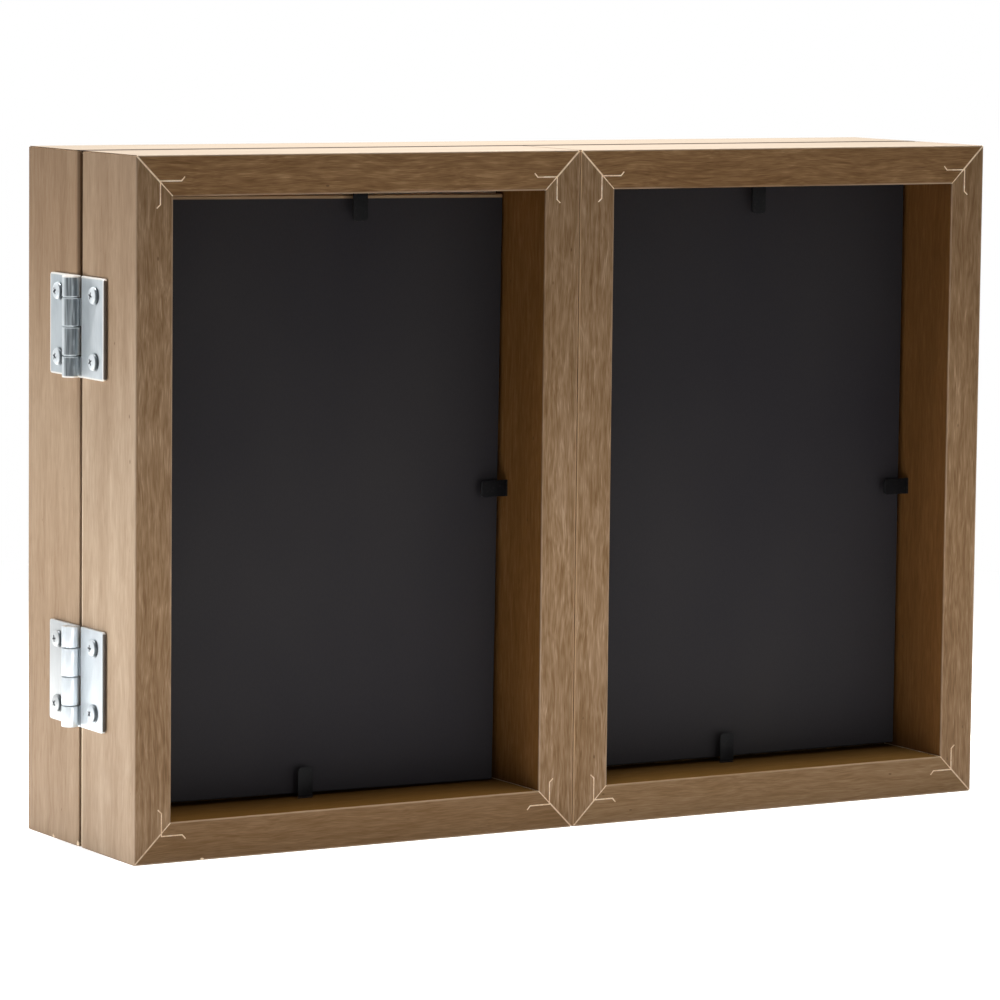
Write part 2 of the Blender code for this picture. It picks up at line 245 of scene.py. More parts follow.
def woodMaterial(panelName, part):
    panel = panels[panelName]
    name = panelName + "_" + part
    material, tree, shader = newMaterial(name + "_wood")
    rail = part.endswith("rail")
    seed = panel["seed"] * pine["panelSeed"] + len(part) * pine["letterSeed"]
    seed += pine["topLeftSeed"] if part.startswith(("top", "left")) else 0.0
    scale = Vector((perMetre, -perMetre * panel["backSign"], perMetre))
    shift = Vector((0.0, moulding["back"], 0.0))
    if part == "top_rail":
        scale.z, shift.z = -perMetre, moulding["height"]
    if part == "left_stile":
        shift.x = -panel["left"]
    if part == "right_stile":
        scale.x, shift.x = -perMetre, panel["right"]
    local = split(tree, stretch(tree, objectPlace(tree), scale, shift))
    along = local["X" if rail else "Z"]
    across = local["Z" if rail else "X"]
    depth = local["Y"]
    grain = addNode(tree, "ShaderNodeCombineXYZ", {"X": along, "Y": depth, "Z": across}).outputs[0]

    # The grain wanders slowly, which bends and slants its streaks
    wave = noise(tree, stretch(tree, grain, pine["wave"], (seed, 2.0, 5.0)), 1.0, output="Color")
    centred = vectorMath(tree, "SUBTRACT", wave, (0.5, 0.5, 0.5))
    bend = vectorMath(tree, "MULTIPLY", centred, (0.0, pine["waveReach"], pine["waveReach"]))
    bent = vectorMath(tree, "ADD", grain, bend)
    streaks = noise(tree, stretch(tree, bent, pine["streaks"], (0.0, seed, 3.0)), *pine["streakNoise"])
    fibres = noise(tree, stretch(tree, bent, pine["fibres"], (seed, 0.0, 8.0)), *pine["fibreNoise"])
    bands = noise(tree, stretch(tree, bent, pine["bands"], (4.0, 1.0, seed)), *pine["bandNoise"])
    layers = (streaks, fibres, bands)
    figure = weightedSum(tree, *zip(layers, pine["rimWeights"]))
    calm = weightedSum(tree, *zip(layers, pine["faceWeights"]))
    if part == "bottom_rail":  # cut from calmer boards
        figure = calc(tree, "MULTIPLY_ADD", figure, *pine["calmRail"])

    # painted light and shade by face: outer faces paler, recess walls darker than the rims
    rimColour = ramp(tree, figure, stain["rim"])
    outerPaintedLightColour = ramp(tree, calm, stain["top"] if part == "top_rail" else stain["outer"])
    innerPaintedShadeColour = ramp(tree, figure, stain["inner"])
    if name in batch:
        rimColour = tinted(tree, rimColour, batch[name])
        innerPaintedShadeColour = tinted(tree, innerPaintedShadeColour, batch[name])
    meets = name in ("left_door_right_stile", "right_door_left_stile")
    if meets:  # painted light: paler where the two doors meet, lifting the shade in the gap between them
        outerPaintedLightColour = mixColour(tree, fall(tree, depth, *marks["gapLight"]), outerPaintedLightColour, stain["gapLight"])
    if name in sideBatch:
        outerPaintedLightColour = tinted(tree, outerPaintedLightColour, sideBatch[name])
        # painted shade: the outer face darker towards its top
        outerPaintedLightColour = tinted(tree, outerPaintedLightColour, stain["paintedShadeHead"], rise(tree, along, *marks["head"]))
    if not rail:
        # painted shade: darker towards the foot, fully on the rims and partly on the outer faces
        footShade = fall(tree, along, *marks["footShade"])
        rimColour = tinted(tree, rimColour, stain["paintedShadeFoot"], footShade)
        outerPaintedLightColour = tinted(tree, outerPaintedLightColour, stain["paintedShadeFoot"], product(tree, footShade, share["outerFootShade"]))
    if part == "bottom_rail":
        # painted shade on the recess floor of the bottom rails
        innerPaintedShadeColour = tinted(tree, innerPaintedShadeColour, stain["recessFloorShade"])
    ragged = product(tree, calc(tree, "SUBTRACT", streaks, 0.5), pine["ragged"])
    raggedAcross = calc(tree, "ADD", across, ragged)
    raggedDepth = calc(tree, "ADD", depth, ragged)
    frontShare = calc(tree, "MAXIMUM", rise(tree, depth, *marks["front"]), rise(tree, across, *marks["lip"]))
    if part == "top_rail":  # only its top face is greyer than the other outer faces, a painted-light tone for the top washing out under the strong light above
        outerPaintedLightColour = mixColour(tree, frontShare, outerPaintedLightColour, ramp(tree, calm, stain["outer"]))
    outerShare = calc(tree, "MAXIMUM", fall(tree, raggedAcross, *marks["outer"]), frontShare)
    wallShare = product(tree, rise(tree, across, *marks["wall"]), fall(tree, across, *marks["wallEnd"]),
                        rise(tree, raggedDepth, *marks["wallDepth"]))
    colour = mixColour(tree, outerShare, rimColour, outerPaintedLightColour)
    colour = mixColour(tree, wallShare, colour, innerPaintedShadeColour)

    # Paler lines along the opening's edge, in patches, and along the outer edge of the back rim
    fromOpening = calc(tree, "SUBTRACT", moulding["rim"], across)
    innerLine = product(tree, fall(tree, fromOpening, *marks["opening"]),
                        fall(tree, raggedDepth, *marks["openingDepth"]),
                        rise(tree, bands, *marks["patches"]), share["paleOpeningLine"][part])
    colour = mixColour(tree, innerLine, colour, stain["paleEdge"])
    outerLine = product(tree, fall(tree, across, *marks["edge"]),
                        fall(tree, raggedDepth, *marks["edgeDepth"]), 0.0 if meets else share["paleOuterLine"])
    colour = mixColour(tree, outerLine, colour, stain["paleEdge"])

    # Bare wood along the outer part of each mitre, where the stain didn't take, least at the bottom
    low, high = (panel["left"], panel["right"]) if rail else (0.0, moulding["height"])
    fromEnd = calc(tree, "MINIMUM", calc(tree, "SUBTRACT", along, low), calc(tree, "SUBTRACT", high, along))
    fromMitre = calc(tree, "SUBTRACT", fromEnd, across)
    if rail:
        bareShare = share["bareHigh"] if part == "top_rail" else share["bareLow"]
    else:
        bareShare = calc(tree, "MULTIPLY_ADD", rise(tree, along, *marks["mitreHeight"]),
                         share["bareHigh"] - share["bareLow"], share["bareLow"])
    mitreLine = product(tree, fall(tree, fromMitre, *marks["mitre"]),
                        fall(tree, raggedDepth, *marks["mitreDepth"]),
                        fall(tree, across, *marks["mitreReach"]), bareShare)
    colour = mixColour(tree, mitreLine, colour, stain["bare"])

    # Scattered pores
    cells = addNode(tree, "ShaderNodeTexVoronoi",
                    {"Vector": stretch(tree, bent, pine["pores"], (seed, 6.0, 2.0)), "Scale": 1.0}).outputs
    pick = addNode(tree, "ShaderNodeSeparateColor", {"Color": cells["Color"]}).outputs[0]
    pores = product(tree, fall(tree, cells["Distance"], *marks["pore"]), rise(tree, pick, *marks["porePick"]))
    colour = mixColour(tree, product(tree, pores, pine["poreShare"]), colour, stain["pore"])

    for spotAlong, spotDepth, radius in chips.get(name, []):
        away = vectorMath(tree, "DISTANCE", grain, (spotAlong, spotDepth, pine["chipAcross"]), output="Value")
        rough = product(tree, calc(tree, "SUBTRACT", fibres, 0.5), pine["chipRagged"])
        away = calc(tree, "ADD", away, rough)
        colour = mixColour(tree, fall(tree, away, radius * pine["chipCore"], radius), colour, stain["bare"])

    if name == "left_door_left_stile":  # painted highlight: its edge at the seam is paler low down
        seamHighlight = product(tree, rise(tree, depth, *marks["seamHighlight"]),
                           fall(tree, across, *marks["seamHighlightAcross"]),
                           fall(tree, along, *marks["seamHighlightHeight"]), share["seamHighlight"])
        colour = mixColour(tree, seamHighlight, colour, stain["bare"])
    if name == "centre_left_stile":  # painted shade along the seam with the door, most at the top
        seamShade = product(tree, rise(tree, raggedDepth, *marks["seam"]),
                           rise(tree, along, *marks["seamShadeHeight"]),
                           fall(tree, across, *marks["seamShadeAcross"]), share["seam"])
        colour = mixColour(tree, seamShade, colour, stain["seam"])
    # painted shade along the seam on the top faces
    if part == "top_rail":
        reach = marks["centreTopSeamShade"] if panelName == "centre" else marks["topSeamShade"]
        seamShade = product(tree, rise(tree, raggedDepth, *reach), fall(tree, across, *marks["topSeamShadeAcross"]))
        colour = mixColour(tree, seamShade, colour, stain["topSeamShade"])
    matt = meets or part == "bottom_rail"
    setShader(tree, shader, colour, Roughness=stain["roughness"],
              Specular_IOR_Level=0.0 if matt else stain["gloss"])
    relief = weightedSum(tree, (streaks, 0.5), (fibres, 0.5))
    relief = calc(tree, "SUBTRACT", relief, product(tree, pores, pine["poreRelief"]))
    addBump(tree, shader, relief, pine["relief"], pine["reliefDepth"] * mm)
    return material


for panelName in panels:
    for part in ("top_rail", "bottom_rail", "left_stile", "right_stile"):
        nodes[panelName + "_" + part].material_slots[0].material = woodMaterial(panelName, part)
print("wood done")


# Backing boards, with a black face
board = {"clouds": (22.0, 22.0, 14.0), "fibres": (2400.0, 2400.0, 900.0), "cloudShare": 0.7,
         "fibreShare": 0.3, "tones": [(0.3, tone(33, 31, 35)), (0.7, tone(43, 41, 42))],
         "raw": tone(152, 127, 97), "slant": 0.5, "rawEdge": 0.1, "rawAbove": 159.75,
         "roughness": 0.7, "gloss": 0.12, "relief": 0.25, "reliefDepth": 0.05}


def boardMaterial(name, rawAbove=None):
    material, tree, shader = newMaterial(name)
    place = objectPlace(tree)
    clouds = noise(tree, stretch(tree, place, board["clouds"]), 2.0)
    fibres = noise(tree, stretch(tree, place, board["fibres"]), 2.0, 0.6)
    mixed = weightedSum(tree, (clouds, board["cloudShare"]), (fibres, board["fibreShare"]))
    colour = ramp(tree, mixed, board["tones"])
    if rawAbove:  # the black face stops short of the board's slanting top edge
        spot = split(tree, stretch(tree, place, (perMetre, perMetre, perMetre)))
        up = calc(tree, "MULTIPLY_ADD", spot["X"], math.tan(math.radians(board["slant"])), spot["Z"])
        edge = rise(tree, up, rawAbove - board["rawEdge"], rawAbove + board["rawEdge"])
        colour = mixColour(tree, edge, colour, board["raw"])
    setShader(tree, shader, colour, Roughness=board["roughness"], Specular_IOR_Level=board["gloss"])
    addBump(tree, shader, fibres, board["relief"], board["reliefDepth"] * mm)
    return material


glass = {"smears": (30.0, 30.0, 55.0), "roughness": (0.01, 0.05), "colour": (0.97, 0.99, 0.98, 1.0),
         "ior": 1.5}


def glassMaterial():
    material, tree, shader = newMaterial("paneGlass")
    smears = noise(tree, stretch(tree, objectPlace(tree), glass["smears"]), 3.0)
    least, most = glass["roughness"]
    rough = addNode(tree, "ShaderNodeMapRange", {"Value": smears, "To Min": least, "To Max": most}).outputs[0]
    setShader(tree, shader, glass["colour"], Roughness=rough, Transmission_Weight=1.0, IOR=glass["ior"])
    return material


steel = {"speckle": (1500.0, 1500.0, 1500.0), "roughness": 0.45, "gloss": 0.10, "relief": 0.2,
         "reliefDepth": 0.03,
         "tones": [(0.35, tone(9, 9, 11)), (0.62, tone(15, 15, 17)), (0.75, tone(32, 31, 30))]}


def steelMaterial():
    material, tree, shader = newMaterial("blackSteel")
    speckle = noise(tree, stretch(tree, objectPlace(tree), steel["speckle"]), 2.0)
    colour = ramp(tree, speckle, steel["tones"])
    setShader(tree, shader, colour, Roughness=steel["roughness"], Specular_IOR_Level=steel["gloss"])
    addBump(tree, shader, speckle, steel["relief"], steel["reliefDepth"] * mm)
    return material


# Zinc plate, with painted shadow beside the screw heads and painted shade where the barrel meets the door's
# leaf
zinc = {  # places in mm: from the pin, from the hinge's middle, round a screw and along the frame's axes
    "fromPin": 10.0, "fromMiddle": 8.1, "groove": 2.6, "knuckle": 7.2,
    "screwShadowStart": (1.85, 2.1), "screwShadowEnd": (2.25, 2.7), "screwShadowSide": (-1.8, -0.2),
    "grooveShadeEdge": (0.06, 0.34), "grooveShadeShare": 0.75, "frameSide": (0.5, 3.0),
    "barrelEnd": (-1.2, -0.3), "barrelStart": (-2.9, -2.3), "barrelOut": (126.3, 127.0), "joint": (0.2, 0.5),
    "rimHighlightAcross": (14.35, 14.7), "rimHighlightUp": (11.95, 12.25), "rimHighlightShare": 0.8,
    "shadedCutEdge": (-14.96, -14.86), "cutShadeShare": 0.9,
    "clouds": (260.0, 260.0, 90.0), "scratches": (2600.0, 2600.0, 260.0), "lines": (1500.0, 1500.0, 70.0),
    "cloudShare": 0.6, "scratchShare": 0.4, "toneStops": (0.36, 0.62), "darkReflectionStreaks": (0.34, 0.60),
    "roughness": (0.24, 0.40), "metallic": 0.5, "relief": 0.12, "reliefDepth": 0.03,
    # painted tones: a dark one for painted shadow, shade and dark reflection, a grey one for the barrel's
    # painted reflection, a bright one for painted highlights, a brown one for the cut edge's painted shade
    "shadeAndReflectionTone": tone(72, 78, 82), "darkReflection": tone(118, 126, 130), "bright": tone(252, 247, 240),
    "cutShadeTone": tone(60, 51, 42),
}


hingeMiddle = {"upper": 129.5, "lower": 43.0}
zincLooks = {  # light and dark tones, which hinges, painted dark reflection on the barrel, painted shade of the frame's leaf; the tones differ by hinge as painted reflection
    "upperReflectionZinc": (tone(209, 216, 220), tone(191, 199, 204), "upper", 0.85, (0.77, 0.79, 0.80)),
    "upperScrewReflectionZinc": (tone(226, 232, 236), tone(212, 219, 224), "upper", 0.0, (0.94, 0.94, 0.94)),
    "lowerReflectionZinc": (tone(216, 223, 228), tone(205, 212, 217), "lower", 0.0, (0.86, 0.83, 0.80)),
}


def zincMaterial(name, light, dark, level, darkReflectionShare, paintedFrameShade):
    material, tree, shader = newMaterial(name)
    place = objectPlace(tree)
    spot = split(tree, stretch(tree, place, (perMetre, perMetre, perMetre)))
    pinSide = product(tree, calc(tree, "SIGN", spot["Y"]), zinc["fromPin"])
    acrossLeaf = calc(tree, "SUBTRACT", spot["Y"], pinSide)
    fromMiddle = calc(tree, "ABSOLUTE", calc(tree, "SUBTRACT", spot["Z"], hingeMiddle[level]))
    upLeaf = calc(tree, "SUBTRACT", fromMiddle, zinc["fromMiddle"])
    fromScrew = calc(tree, "SQRT", weightedSum(tree, (acrossLeaf, acrossLeaf), (upLeaf, upLeaf)))
    # painted shadow: a dark crescent on one side of each screw head
    ring = product(tree, rise(tree, fromScrew, *zinc["screwShadowStart"]), fall(tree, fromScrew, *zinc["screwShadowEnd"]),
                   fall(tree, acrossLeaf, *zinc["screwShadowSide"]))
    # painted shade in the crease where the barrel meets the door's leaf
    groove = calc(tree, "ABSOLUTE", calc(tree, "ADD", spot["Y"], zinc["groove"]))
    grooveShade = product(tree, fall(tree, groove, *zinc["grooveShadeEdge"]), zinc["grooveShadeShare"])
    clouds = noise(tree, stretch(tree, place, zinc["clouds"]), 3.0, 0.6)
    scratches = noise(tree, stretch(tree, place, zinc["scratches"]), 2.0, 0.6)
    mixed = weightedSum(tree, (clouds, zinc["cloudShare"]), (scratches, zinc["scratchShare"]))
    colour = ramp(tree, mixed, list(zip(zinc["toneStops"], (dark, light))))
    colour = tinted(tree, colour, paintedFrameShade, rise(tree, spot["Y"], *zinc["frameSide"]))
    # painted reflection: the upper hinge's barrel darker, with dark streaks
    if darkReflectionShare:
        onBarrel = product(tree, fall(tree, spot["Y"], *zinc["barrelEnd"]),
                           rise(tree, spot["Y"], *zinc["barrelStart"]),
                           rise(tree, calc(tree, "ABSOLUTE", spot["X"]), *zinc["barrelOut"]))
        fromJoint = calc(tree, "PINGPONG", fromMiddle, 0.5 * zinc["knuckle"])
        onBarrel = product(tree, onBarrel, rise(tree, fromJoint, *zinc["joint"]))
        lines = noise(tree, stretch(tree, place, zinc["lines"]), 2.0, 0.6)
        darkReflectionStreaks = product(tree, onBarrel, rise(tree, lines, *zinc["darkReflectionStreaks"]))
        colour = mixColour(tree, product(tree, onBarrel, darkReflectionShare), colour, zinc["darkReflection"])
        colour = mixColour(tree, product(tree, darkReflectionStreaks, darkReflectionShare), colour, zinc["shadeAndReflectionTone"])
    colour = mixColour(tree, grooveShade, colour, zinc["shadeAndReflectionTone"])
    colour = mixColour(tree, ring, colour, zinc["shadeAndReflectionTone"])
    if darkReflectionShare:  # painted highlight: bright rims round the plates
        rimHighlight = calc(tree, "MAXIMUM", rise(tree, calc(tree, "ABSOLUTE", spot["Y"]), *zinc["rimHighlightAcross"]),
                      rise(tree, fromMiddle, *zinc["rimHighlightUp"]))
        colour = mixColour(tree, product(tree, rimHighlight, zinc["rimHighlightShare"]), colour, zinc["bright"])
    plateEdgeShade = fall(tree, spot["Y"], *zinc["shadedCutEdge"])  # painted shade: the door leaf's cut edge is dark, for its own shade and the shadow beside it
    colour = mixColour(tree, product(tree, plateEdgeShade, zinc["cutShadeShare"]), colour, zinc["cutShadeTone"])
    least, most = zinc["roughness"]
    rough = addNode(tree, "ShaderNodeMapRange",
                    {"Value": scratches, "To Min": least, "To Max": most}).outputs[0]
    setShader(tree, shader, colour, Roughness=rough, Metallic=zinc["metallic"])
    addBump(tree, shader, scratches, zinc["relief"], zinc["reliefDepth"] * mm)
    return material


# Painted shade: the cross recess of each screw is a darker grey than its head
recess = {"specks": (1800.0, 1800.0, 1800.0), "roughness": 0.55, "metallic": 0.6,
          "tones": [(0.35, tone(104, 109, 114)), (0.65, tone(140, 145, 150))]}


def recessShadeMaterial():
    material, tree, shader = newMaterial("crossRecessShade")
    specks = noise(tree, stretch(tree, objectPlace(tree), recess["specks"]), 2.0)
    setShader(tree, shader, ramp(tree, specks, recess["tones"]), Roughness=recess["roughness"],
              Metallic=recess["metallic"])
    return material


paper = {"fibres": (700.0, 700.0, 700.0), "roughness": 0.85,
         "tones": [(0.3, tone(232, 229, 221)), (0.7, tone(240, 238, 232))]}


def paperMaterial():
    material, tree, shader = newMaterial("plainPaper")
    fibres = noise(tree, stretch(tree, objectPlace(tree), paper["fibres"]), 3.0)
    setShader(tree, shader, ramp(tree, fibres, paper["tones"]), Roughness=paper["roughness"])
    return material


# Pale filler in the mitres, darker towards the bottom
bareFiller = {"grit": (900.0, 900.0, 900.0), "roughness": 0.8, "darkerBelow": (0.04, 0.14),
              "lowTone": (0.66, 0.61, 0.58, 1.0), "highTone": (1.0, 1.0, 1.0, 1.0),
              "tones": [(0.36, tone(226, 198, 165)), (0.5, tone(250, 225, 194)), (0.68, tone(255, 242, 219))]}


def fillerMaterial():
    material, tree, shader = newMaterial("bareWoodFiller")
    place = objectPlace(tree)
    grit = noise(tree, stretch(tree, place, bareFiller["grit"]), 2.0)
    height = rise(tree, split(tree, place)["Z"], *bareFiller["darkerBelow"])
    shade = mixColour(tree, height, bareFiller["lowTone"], bareFiller["highTone"])
    colour = mixColour(tree, 1.0, ramp(tree, grit, bareFiller["tones"]), shade, "MULTIPLY")
    setShader(tree, shader, colour, Roughness=bareFiller["roughness"])
    return material


blackBoard = boardMaterial("blackBoard")
trimmedBoard = boardMaterial("trimmedBlackBoard", board["rawAbove"])
paneGlass = glassMaterial()
blackSteel = steelMaterial()
metals = {name: zincMaterial(name, *look) for name, look in zincLooks.items()}
recessShadeZinc = recessShadeMaterial()
plainPaper = paperMaterial()
filler = fillerMaterial()
for panelName in panels:
    boardNode = nodes[panelName + "_backing_board"]
    boardNode.material_slots[0].material = trimmedBoard if panelName == "left_door" else blackBoard
    nodes[panelName + "_pane"].material_slots[0].material = paneGlass
print("finishes done")


# Mesh helpers. Vertices nearer than the weld, in mm, become one.
weld = {"part": 0.001, "piece": 0.002}


def finishPiece(name, bm, material, body, replaced=(), smoothAngle=None):
    bmesh.ops.remove_doubles(bm, verts=bm.verts[:], dist=weld["piece"] * mm)
    bmesh.ops.recalc_face_normals(bm, faces=bm.faces[:])
    mesh = bpy.data.meshes.new(name)
    bm.to_mesh(mesh)
    bm.free()
    if smoothAngle is not None:
        mesh.shade_smooth()
        mesh.set_sharp_from_angle(angle=math.radians(smoothAngle))
    mesh.materials.append(material)
    piece = bpy.data.objects.new(name, mesh)
    bpy.context.collection.objects.link(piece)
    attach(piece, body)
    if replaced:
        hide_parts(*replaced)
    return piece


def moveNew(bm, made, way):  # what an extrusion has just made
    fresh = [item for item in made["geom"] if isinstance(item, bmesh.types.BMVert)]
    bmesh.ops.translate(bm, verts=fresh, vec=way)


def extrudeFaces(bm, faces, way):
    moveNew(bm, bmesh.ops.extrude_face_region(bm, geom=faces), way)


def sharpEdges(bm, degrees):
    return [edge for edge in bm.edges if len(edge.link_faces) == 2
            and edge.calc_face_angle(0.0) > math.radians(degrees)]


def rounded(bm, parts, offset, segments, affect="EDGES"):
    bmesh.ops.bevel(bm, geom=parts, offset=offset, segments=segments, profile=0.5, affect=affect,
                    material=-1)


def addBlock(bm, size, middle=(0.0, 0.0, 0.0)):
    block = bmesh.ops.create_cube(bm, size=1.0)["verts"]
    bmesh.ops.scale(bm, verts=block, vec=size)
    bmesh.ops.translate(bm, verts=block, vec=middle)
    return block


def spinRound(bm, parts, angle, steps, merge=False):
    bmesh.ops.spin(bm, geom=parts, cent=(0.0, 0.0, 0.0), axis=(0.0, 0.0, 1.0), dvec=(0.0, 0.0, 0.0),
                   angle=angle, space=Matrix.Identity(4), steps=steps, use_merge=merge,
                   use_duplicate=False)


# Hinge leaves: a flat plate with two curled knuckles. Local X points away from the wood, Y along the leaf.
hinge = {
    "axisX": 127.25, "height": 25.0, "reach": 15.0, "sheet": 0.9, "barrel": 2.3,
    "curlDegrees": 295.0, "curlSteps": 40, "knuckleEnds": (12.5, 7.2, 0.0, -7.2, -12.5),
    "knuckleGap": 0.3, "notchClearance": 0.3,
    "cornerRound": 0.8, "edgeRound": 0.12, "pinRadius": 1.2, "pinDome": 0.35, "overlap": 0.05,
    "sharp": 50.0, "smooth": 35.0, "pinSmooth": 40.0, "nearAxis": 1e-6,
}
screw = {
    "fromPin": 10.0, "fromMiddle": 8.1, "seat": -1.2, "headRadius": 2.2, "headHeight": 1.05, "shank": 1.25,
    "root": 0.95, "length": 8.5, "tip": 1.8, "crests": 4, "steps": 40,
    "dome": ((0.0, 1.0), (0.28, 0.985), (0.5, 0.945), (0.68, 0.86), (0.82, 0.72), (0.92, 0.52),
             (0.985, 0.26)),
    "rim": 0.12, "crestHalf": 0.35, "arm": 1.25, "slotWidth": 0.52, "slotDepth": 0.75,
    "floorShare": (0.45, 0.7, 1.0), "margin": 0.05, "lowShare": 0.6, "steep": 0.7,
    "firstTurn": 0.3, "nextTurn": 0.85, "smooth": 32.0,
}


def hingeSpace(side, height, leafWay):
    sign = -1.0 if side == "left" else 1.0
    spot = Vector((sign * hinge["axisX"], 0.0, height)) * mm
    turn = Matrix(((sign, 0.0, 0.0), (0.0, leafWay, 0.0), (0.0, 0.0, 1.0)))
    return Matrix.Translation(spot) @ turn.to_4x4() @ Matrix.Scale(mm, 4)


def onAxisPlane(bm):
    return [face for face in bm.faces if all(abs(vertex.co.y) < hinge["nearAxis"] for vertex in face.verts)]


def makeLeaf(name, side, height, leafWay, knuckles, body, node, material):
    bm = bmesh.new()
    outside = hinge["barrel"]
    bore = outside - hinge["sheet"]
    plateStart = outside + hinge["notchClearance"]
    addBlock(bm, (hinge["sheet"], hinge["reach"] - plateStart, hinge["height"]),
             (-0.5 * (outside + bore), 0.5 * (hinge["reach"] + plateStart), 0.0))
    farCorners = []
    for edge in bm.edges:
        first, second = (vertex.co for vertex in edge.verts)
        if abs(first.x - second.x) > 0.5 * hinge["sheet"] and first.y > plateStart + 1.0:
            farCorners.append(edge)
    rounded(bm, farCorners, hinge["cornerRound"], segments=4)
    ends = hinge["knuckleEnds"]
    for index in knuckles:
        top = ends[index] - (0.0 if index == 0 else 0.5 * hinge["knuckleGap"])
        low = ends[index + 1] + (0.0 if index == 3 else 0.5 * hinge["knuckleGap"])
        outline = ((-outside, low), (-bore, low), (-bore, top), (-outside, top))
        strip = bm.faces.new([bm.verts.new((x, 0.0, z)) for x, z in outline])
        extrudeFaces(bm, [strip], (0.0, plateStart + hinge["overlap"], 0.0))
        ring = next(face for face in onAxisPlane(bm) if low < face.calc_center_median().z < top)
        spinRound(bm, [ring] + list(ring.edges) + list(ring.verts), math.radians(hinge["curlDegrees"]),
                  hinge["curlSteps"])
    bmesh.ops.remove_doubles(bm, verts=bm.verts[:], dist=weld["part"])
    bmesh.ops.delete(bm, geom=onAxisPlane(bm), context="FACES_ONLY")
    bmesh.ops.recalc_face_normals(bm, faces=bm.faces[:])
    rounded(bm, sharpEdges(bm, hinge["sharp"]), hinge["edgeRound"], segments=2)
    bm.transform(hingeSpace(side, height, leafWay))
    finishPiece(name, bm, material, body, (node,), hinge["smooth"])


def makePin(name, side, height, node, material):
    bm = bmesh.new()
    bmesh.ops.create_cone(bm, cap_ends=True, segments=36, radius1=hinge["pinRadius"],
                          radius2=hinge["pinRadius"], depth=hinge["height"])
    rims = [edge for edge in bm.edges if abs(edge.verts[0].co.z - edge.verts[1].co.z) < 0.1]
    rounded(bm, rims, hinge["pinDome"], segments=4)
    bm.transform(hingeSpace(side, height, 1.0))
    finishPiece(name, bm, material, "centre_panel", (node,), hinge["pinSmooth"])


# The screw's half section spun about its axis, then a cross recess cut into the dome
def screwHeadMesh():
    bm = bmesh.new()
    rim = screw["rim"]
    section = [(radius * screw["headRadius"], up * screw["headHeight"]) for radius, up in screw["dome"]]
    section += [(screw["headRadius"], rim), (screw["headRadius"] - rim, 0.0), (screw["shank"], 0.0)]
    threadLength = screw["length"] - screw["tip"]
    for crest in range(screw["crests"]):
        middle = -threadLength * (crest + 0.5) / screw["crests"]
        section += [(screw["root"], middle + screw["crestHalf"]), (screw["shank"], middle),
                    (screw["root"], middle - screw["crestHalf"])]
    section += [(screw["root"], -threadLength), (0.0, -screw["length"])]
    points = [bm.verts.new((radius, 0.0, height)) for radius, height in section]
    lines = [bm.edges.new(pair) for pair in zip(points[:-1], points[1:])]
    spinRound(bm, points + lines, math.tau, screw["steps"], merge=True)
    bmesh.ops.remove_doubles(bm, verts=bm.verts[:], dist=weld["part"])
    bmesh.ops.recalc_face_normals(bm, faces=bm.faces[:])
    body = bpy.data.meshes.new("screwBody")
    bm.to_mesh(body)
    bm.free()
    cross = bmesh.new()
    for turn in (0.0, 0.5 * math.pi):
        arm = addBlock(cross, (2.0 * screw["arm"], screw["slotWidth"], 2.0 * screw["slotDepth"]),
                       (0.0, 0.0, screw["headHeight"]))
        floor = [vertex for vertex in arm if vertex.co.z < screw["headHeight"]]
        bmesh.ops.scale(cross, verts=floor, vec=screw["floorShare"])
        bmesh.ops.rotate(cross, verts=arm, matrix=Matrix.Rotation(turn, 3, "Z"))
    cutter = bpy.data.meshes.new("screwCross")
    cross.to_mesh(cutter)
    cross.free()
    bodyObject = bpy.data.objects.new("screwBody", body)
    cutterObject = bpy.data.objects.new("screwCross", cutter)
    bpy.context.collection.objects.link(bodyObject)
    bpy.context.collection.objects.link(cutterObject)
    cut = bodyObject.modifiers.new("recess", "BOOLEAN")
    cut.operation = "DIFFERENCE"
    cut.solver = "EXACT"
    cut.use_self = True
    cut.object = cutterObject
    cutBody = bodyObject.evaluated_get(bpy.context.evaluated_depsgraph_get())
    shaped = bpy.data.meshes.new_from_object(cutBody)
    bpy.data.objects.remove(bodyObject)
    bpy.data.objects.remove(cutterObject)
    return shaped


screwMesh = screwHeadMesh()


def makeScrew(name, side, height, leafWay, offset, body, node, material, turn):
    bm = bmesh.new()
    bm.from_mesh(screwMesh)
    for face in bm.faces:  # the cross's floor lies deep in the dome, and its walls are steep
        middle = face.calc_center_median()
        inside = math.hypot(middle.x, middle.y) < screw["arm"] + screw["margin"]
        low = middle.z < screw["lowShare"] * screw["headHeight"]
        if inside and middle.z > screw["margin"] and (low or abs(face.normal.z) < screw["steep"]):
            face.material_index = 1
    seat = Matrix.Translation((screw["seat"], screw["fromPin"], offset))
    upright = Matrix.Rotation(0.5 * math.pi, 4, "Y")
    bm.transform(hingeSpace(side, height, leafWay) @ seat @ upright @ Matrix.Rotation(turn, 4, "Z"))
    piece = finishPiece(name, bm, material, body, (node,), screw["smooth"])
    piece.data.materials.append(recessShadeZinc)


